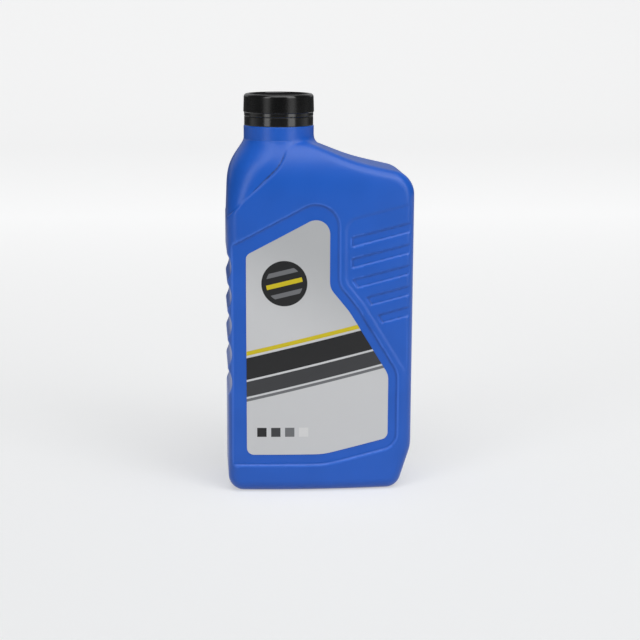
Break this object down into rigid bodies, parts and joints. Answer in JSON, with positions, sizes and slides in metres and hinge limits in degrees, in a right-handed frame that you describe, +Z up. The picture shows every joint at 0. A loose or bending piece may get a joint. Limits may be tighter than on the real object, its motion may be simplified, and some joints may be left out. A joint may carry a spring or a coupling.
{
  "type": "motor oil bottle",
  "caption": "Blown plastic oil bottle with an offset neck, a recessed label panel, grip grooves, finger scallops, a screw cap and a tamper band.",
  "frame": {"origin": "middle of the body's width and depth, on the surface the bottle stands on", "axes": "+Z up along the neck, -Y out of the label face, +X towards the grooved grip side"},
  "size_m": [0.1064, 0.058, 0.228],
  "materials": {
    "blue_plastic": "satin blown polyethylene",
    "black_plastic": "moulded polypropylene",
    "liner_foam": "foamed polyethylene",
    "label_film": "printed silver film"
  },
  "bodies": {
    "bottle": {"bottle": "blue_plastic", "front_label": "label_film", "tamper_band": "black_plastic"},
    "liner": {"cap_liner": "liner_foam"},
    "cap": {"screw_cap": "black_plastic"}
  },
  "joints": [
    {"name": "cap_lift", "type": "slide", "parent": "bottle", "child": "liner", "axis": [0, 0, 1], "range_m": [0, 0.0106]},
    {"name": "cap_turn", "type": "hinge", "parent": "liner", "child": "cap", "pos_m": [-0.0226, 0, 0.22], "axis": [0, 0, 1], "range_deg": [0, 900]}
  ],
  "couplings": [
    {"joint": "cap_lift", "follows": "cap_turn", "m_per_rad": 0.00067323}
  ]
}
